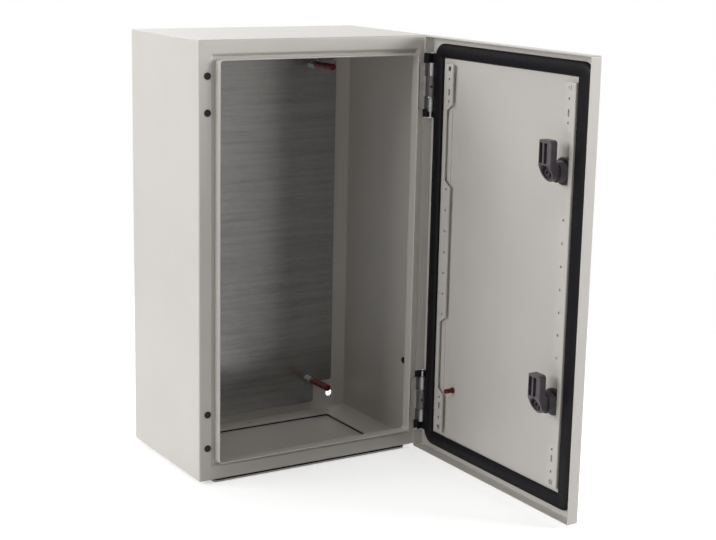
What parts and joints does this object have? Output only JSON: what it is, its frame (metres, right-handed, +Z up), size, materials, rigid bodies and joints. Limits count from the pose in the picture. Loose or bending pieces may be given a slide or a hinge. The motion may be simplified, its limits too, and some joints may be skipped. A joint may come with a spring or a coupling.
{
  "type": "steel wall enclosure",
  "caption": "Wall-mounting steel enclosure with a hinged gasketed door on quarter-turn locks, an inner mounting plate and a gland plate in the floor.",
  "frame": {"origin": "middle of the four wall-fixing holes, on the back face of the body", "axes": "+X towards the hinge side, +Y into the wall, +Z up"},
  "size_m": [0.305, 0.4858, 0.504],
  "materials": {
    "painted_steel": "fine textured light grey polyester powder coat, semi-gloss",
    "galvanised_plate": "galvanised sheet, brushed",
    "zinc_steel": "bright zinc plated",
    "dark_zinc": "dark cast zinc, satin",
    "foam_gasket": "black closed-cell foam",
    "black_plastic": "black nylon",
    "red_vinyl": "dark red vinyl"
  },
  "bodies": {
    "enclosure": {"body_shell": "painted_steel", "hinge_hole_plugs": "black_plastic", "side_hole_plug": "black_plastic", "gland_gasket": "foam_gasket", "gland_plate": "painted_steel", "gland_screws": "zinc_steel", "mounting_plate": "galvanised_plate", "plate_studs": "zinc_steel", "plate_washers": "zinc_steel", "plate_nuts": "zinc_steel", "stud_caps": "red_vinyl", "hinge_screws": "zinc_steel", "upper_hinge_body_leaf": "dark_zinc", "upper_hinge_pin": "zinc_steel", "upper_hinge_set_screw": "zinc_steel", "lower_hinge_body_leaf": "dark_zinc", "lower_hinge_pin": "zinc_steel", "lower_hinge_set_screw": "zinc_steel"},
    "door": {"door_panel": "painted_steel", "door_gasket": "foam_gasket", "hinge_side_rail": "painted_steel", "lock_side_rail": "painted_steel", "rail_stud": "painted_steel", "door_earth_stud": "zinc_steel", "door_earth_cap": "red_vinyl", "upper_hinge_door_bracket": "zinc_steel", "upper_lock_housing": "dark_zinc", "upper_lock_seal": "foam_gasket", "upper_lock_nut": "dark_zinc", "lower_hinge_door_bracket": "zinc_steel", "lower_lock_housing": "dark_zinc", "lower_lock_seal": "foam_gasket", "lower_lock_nut": "dark_zinc"},
    "upper_lock": {"upper_lock_core": "zinc_steel", "upper_lock_cam": "dark_zinc", "upper_cam_screw": "zinc_steel"},
    "lower_lock": {"lower_lock_core": "zinc_steel", "lower_lock_cam": "dark_zinc", "lower_cam_screw": "zinc_steel"}
  },
  "joints": [
    {"name": "door_hinge", "type": "hinge", "parent": "enclosure", "child": "door", "pos_m": [0.146, -0.1898, 0], "axis": [0, 0, 1], "range_deg": [-90, 30]},
    {"name": "upper_lock_turn", "type": "hinge", "parent": "door", "child": "upper_lock", "pos_m": [0.15, -0.4373, 0.126], "axis": [1, 0, 0], "range_deg": [0, 90]},
    {"name": "lower_lock_turn", "type": "hinge", "parent": "door", "child": "lower_lock", "pos_m": [0.15, -0.4373, -0.126], "axis": [1, 0, 0], "range_deg": [0, 90]}
  ]
}
